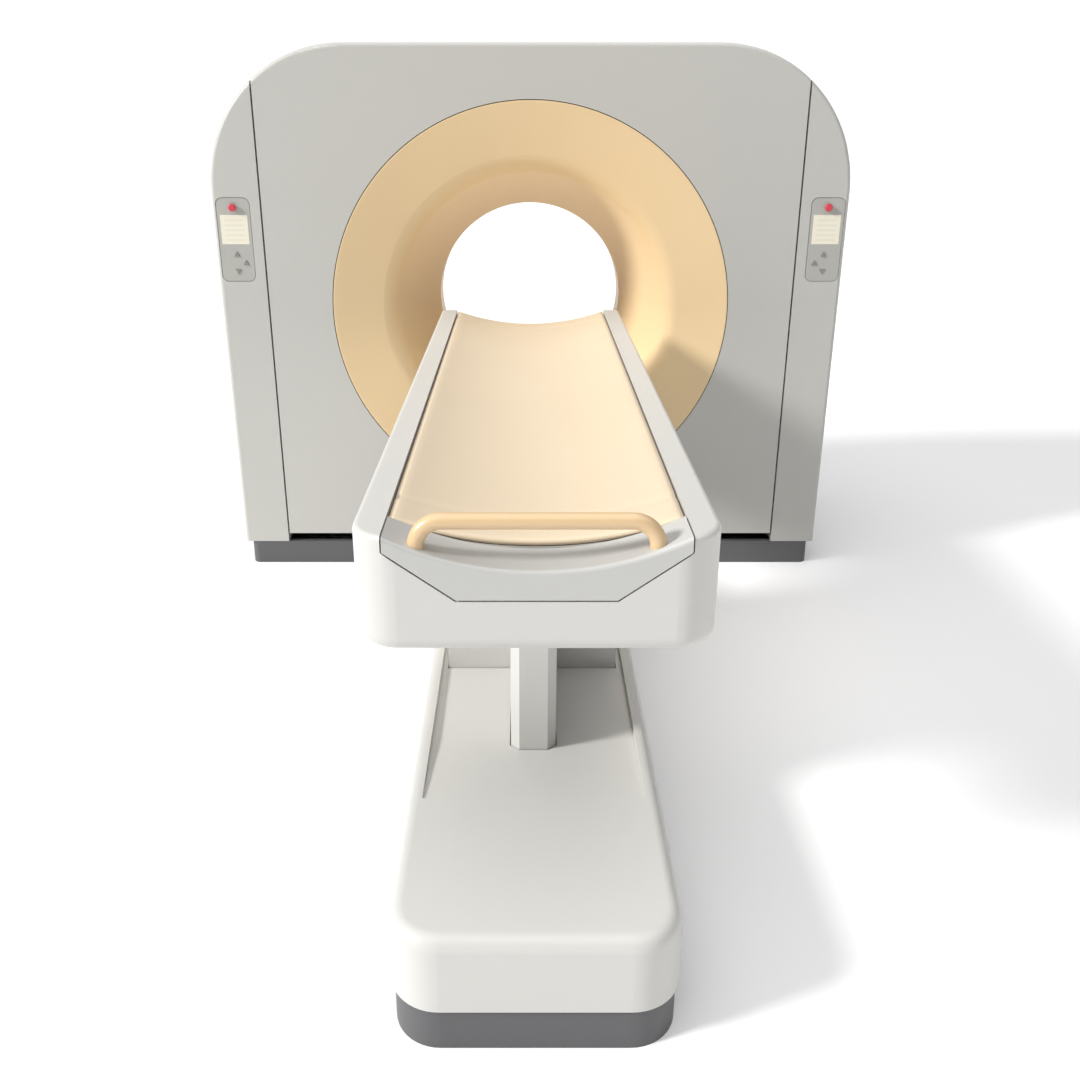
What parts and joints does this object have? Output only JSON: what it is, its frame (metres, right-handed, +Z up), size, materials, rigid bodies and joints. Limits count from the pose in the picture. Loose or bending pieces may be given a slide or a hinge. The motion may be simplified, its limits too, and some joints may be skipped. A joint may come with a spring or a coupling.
{
  "type": "ct scanner",
  "caption": "Medical CT scanner: a tilting ring gantry between two fixed pillars, with a lifting table whose dished cradle slides through the bore.",
  "frame": {"origin": "point on the floor straight below the isocentre, the centre of the bore", "axes": "+Y runs from the patient table through the bore, +X is to the right seen from the table, +Z is up"},
  "size_m": [2.22, 3.113, 1.877],
  "materials": {
    "gantry_cover": "satin moulded",
    "plinth_grey": "semi-matte paint",
    "funnel_beige": "satin moulded",
    "window_film": "satin film",
    "table_white": "satin moulded",
    "end_block_grey": "satin moulded",
    "cradle_skin": "carbon skin, painted",
    "pad_vinyl": "soft vinyl",
    "handle_tan": "satin",
    "panel_grey": "fine texture",
    "display_pane": "gloss",
    "button_red": "gloss",
    "key_grey": "matte",
    "frame_steel": "enamel",
    "motor_enamel": "enamel",
    "bearing_steel": "ground",
    "cast_aluminium": "as cast",
    "slip_brass": "turned",
    "insulator": "moulded",
    "lead_grey": "cast",
    "tube_housing": "enamel",
    "belt_rubber": "matte"
  },
  "bodies": {
    "base": {"base_frame": "frame_steel", "gantry_plinth": "plinth_grey", "pillar_cover_left": "gantry_cover", "pillar_cover_right": "gantry_cover", "trunnion_bearings": "bearing_steel", "tilt_gearmotor": "motor_enamel", "panel_left": "panel_grey", "panel_right": "panel_grey", "display_left": "display_pane", "display_right": "display_pane", "pedestal_base": "plinth_grey", "pedestal_cover": "table_white", "column_guide": "frame_steel", "spindle_outer": "bearing_steel", "lift_power_unit": "motor_enamel"},
    "gantry": {"tilt_frame": "frame_steel", "trunnions": "bearing_steel", "front_cover": "gantry_cover", "rear_cover": "gantry_cover", "front_funnel": "funnel_beige", "rear_funnel": "funnel_beige", "bore_window": "window_film", "bearing_outer_race": "bearing_steel", "brush_block": "insulator", "drive_motor": "motor_enamel", "drive_belt": "belt_rubber"},
    "pulley": {"drive_pulley": "bearing_steel"},
    "rotor": {"rotor_ring": "cast_aluminium", "bearing_inner_race": "bearing_steel", "slip_ring": "slip_brass", "xray_tube": "tube_housing", "tube_collimator": "lead_grey", "xray_generator": "tube_housing", "heat_exchanger": "cast_aluminium", "data_unit": "frame_steel", "detector_arc": "insulator", "counterweight": "lead_grey"},
    "column_stage": {"column_middle": "table_white", "spindle_middle": "bearing_steel"},
    "table": {"column_top": "table_white", "spindle_top": "bearing_steel", "table_frame": "frame_steel", "table_cover": "table_white", "cradle_rails": "bearing_steel", "cradle_motor": "motor_enamel"},
    "cradle": {"cradle_board": "cradle_skin", "mattress_pad": "pad_vinyl", "cradle_end_block": "end_block_grey", "tube_handle": "handle_tan", "cradle_carriages": "bearing_steel"},
    "stop_button_left": {"stop_button_left": "button_red"},
    "up_key_left": {"up_key_left": "key_grey"},
    "down_key_left": {"down_key_left": "key_grey"},
    "home_key_left": {"home_key_left": "key_grey"},
    "stop_button_right": {"stop_button_right": "button_red"},
    "up_key_right": {"up_key_right": "key_grey"},
    "down_key_right": {"down_key_right": "key_grey"},
    "home_key_right": {"home_key_right": "key_grey"}
  },
  "joints": [
    {"name": "gantry_tilt", "type": "hinge", "parent": "base", "child": "gantry", "pos_m": [0, 0, 0.99], "axis": [-1, 0, 0], "range_deg": [-20, 20]},
    {"name": "rotor_spin", "type": "hinge", "parent": "gantry", "child": "rotor", "pos_m": [0, 0, 0.99], "axis": [0, 1, 0], "continuous": true},
    {"name": "pulley_spin", "type": "hinge", "parent": "gantry", "child": "pulley", "pos_m": [0.69484, 0, 0.36436], "axis": [0, 1, 0], "continuous": true},
    {"name": "table_lift", "type": "slide", "parent": "base", "child": "table", "axis": [0, 0, 1], "range_m": [-0.42, 0]},
    {"name": "column_stage_lift", "type": "slide", "parent": "base", "child": "column_stage", "axis": [0, 0, 1], "range_m": [-0.1764, 0]},
    {"name": "cradle_slide", "type": "slide", "parent": "table", "child": "cradle", "axis": [0, 1, 0], "range_m": [0, 1.5]},
    {"name": "stop_button_left_press", "type": "slide", "parent": "base", "child": "stop_button_left", "axis": [0, 1, 0], "range_m": [0, 0.004], "stiffness_N_per_m": 500, "springref_m": -0.002},
    {"name": "up_key_left_press", "type": "slide", "parent": "base", "child": "up_key_left", "axis": [0, 1, 0], "range_m": [0, 0.0012], "stiffness_N_per_m": 1500, "springref_m": -0.0005},
    {"name": "down_key_left_press", "type": "slide", "parent": "base", "child": "down_key_left", "axis": [0, 1, 0], "range_m": [0, 0.0012], "stiffness_N_per_m": 1500, "springref_m": -0.0005},
    {"name": "home_key_left_press", "type": "slide", "parent": "base", "child": "home_key_left", "axis": [0, 1, 0], "range_m": [0, 0.0012], "stiffness_N_per_m": 1500, "springref_m": -0.0005},
    {"name": "stop_button_right_press", "type": "slide", "parent": "base", "child": "stop_button_right", "axis": [0, 1, 0], "range_m": [0, 0.004], "stiffness_N_per_m": 500, "springref_m": -0.002},
    {"name": "up_key_right_press", "type": "slide", "parent": "base", "child": "up_key_right", "axis": [0, 1, 0], "range_m": [0, 0.0012], "stiffness_N_per_m": 1500, "springref_m": -0.0005},
    {"name": "down_key_right_press", "type": "slide", "parent": "base", "child": "down_key_right", "axis": [0, 1, 0], "range_m": [0, 0.0012], "stiffness_N_per_m": 1500, "springref_m": -0.0005},
    {"name": "home_key_right_press", "type": "slide", "parent": "base", "child": "home_key_right", "axis": [0, 1, 0], "range_m": [0, 0.0012], "stiffness_N_per_m": 1500, "springref_m": -0.0005}
  ],
  "couplings": [
    {"joint": "pulley_spin", "follows": "rotor_spin", "ratio": 13.333},
    {"joint": "column_stage_lift", "follows": "table_lift", "ratio": 0.42}
  ]
}
